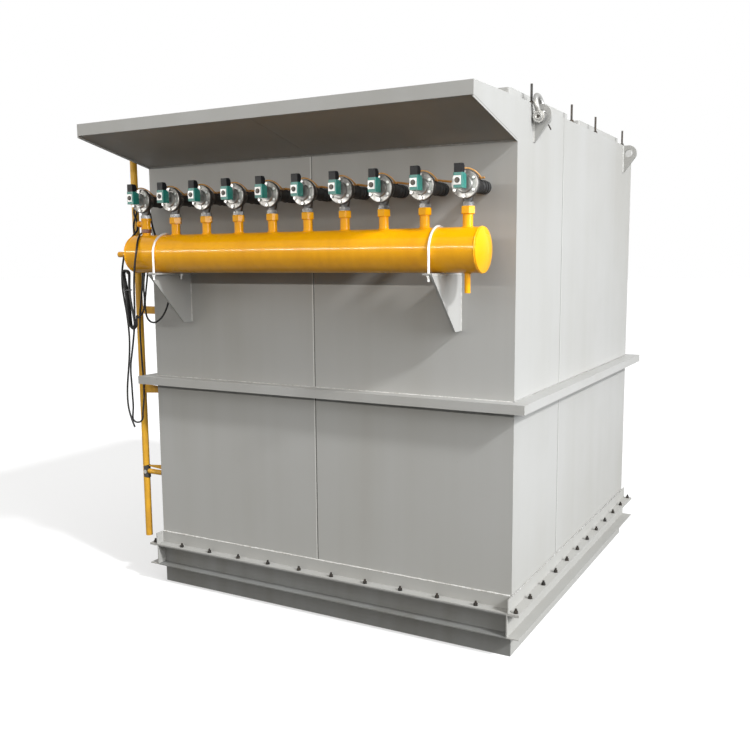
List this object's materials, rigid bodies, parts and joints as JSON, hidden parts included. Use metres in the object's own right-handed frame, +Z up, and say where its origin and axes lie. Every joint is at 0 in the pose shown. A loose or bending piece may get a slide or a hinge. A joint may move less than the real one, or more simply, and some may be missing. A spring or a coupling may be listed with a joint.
{
  "type": "baghouse dust collector",
  "caption": "Welded steel dust collector housing on a channel frame, with a canopy, a yellow air header and a row of pulse valves with green coils.",
  "frame": {"origin": "middle of the bottom face of the front skirt plate, on which the housing stands", "axes": "+X to the right along the front wall, +Y to the back, +Z up; the front with the valves faces -Y"},
  "size_m": [2.5699, 2.917, 2.841],
  "materials": {
    "amber_cable": "smooth cable sheath",
    "black_plastic": "moulded",
    "black_rubber": "smooth",
    "cast_aluminium": "bead-blasted die casting",
    "dark_steel": "black oxide",
    "green_plastic": "moulded",
    "grey_paint": "brushed light grey enamel, slightly weathered",
    "yellow_paint": "glossy golden yellow enamel",
    "zinc_steel": "zinc plated"
  },
  "bodies": {
    "housing": {"branch_fitting": "black_rubber", "cable_clamp": "black_rubber", "cable_coil": "black_rubber", "canopy_lip": "grey_paint", "canopy_top": "grey_paint", "canopy_underside": "grey_paint", "channel_ends": "grey_paint", "channel_sides": "grey_paint", "coil_plugs": "black_plastic", "flange_ends": "grey_paint", "flange_sides": "grey_paint", "front_wall_left": "grey_paint", "front_wall_right": "grey_paint", "hanging_cable_coiled": "black_rubber", "hanging_cable_left": "black_rubber", "hanging_cable_loop": "black_rubber", "hanging_cable_short": "black_rubber", "header_brackets": "grey_paint", "header_caps": "yellow_paint", "header_drain": "yellow_paint", "header_inlet": "yellow_paint", "header_pipe": "yellow_paint", "header_straps": "zinc_steel", "joint_bars": "grey_paint", "left_wall_front": "grey_paint", "left_wall_rear": "grey_paint", "lugs_left": "grey_paint", "lugs_right": "grey_paint", "outlet_sleeves": "black_rubber", "rear_wall_left": "grey_paint", "rear_wall_right": "grey_paint", "right_wall_front": "grey_paint", "right_wall_rear": "grey_paint", "ring_ends": "grey_paint", "ring_sides": "grey_paint", "riser_branch": "yellow_paint", "riser_pipe": "yellow_paint", "riser_plates": "yellow_paint", "roof_lids": "grey_paint", "roof_plate": "grey_paint", "roof_studs": "dark_steel", "side_tee": "yellow_paint", "skirt_ends": "grey_paint", "skirt_sides": "grey_paint", "union_nuts": "yellow_paint", "valve_bodies": "cast_aluminium", "valve_coils": "green_plastic", "valve_covers": "cast_aluminium", "valve_gaskets": "black_rubber", "valve_leads": "amber_cable", "valve_stubs": "yellow_paint", "wall_grommets": "black_rubber"},
    "shackle": {"shackle_bow": "zinc_steel", "shackle_pin": "zinc_steel"}
  },
  "joints": [
    {"name": "shackle_swing", "type": "hinge", "parent": "housing", "child": "shackle", "pos_m": [1.186, 0.225, 2.6793], "axis": [0, 1, 0], "range_deg": [0, 192]}
  ]
}
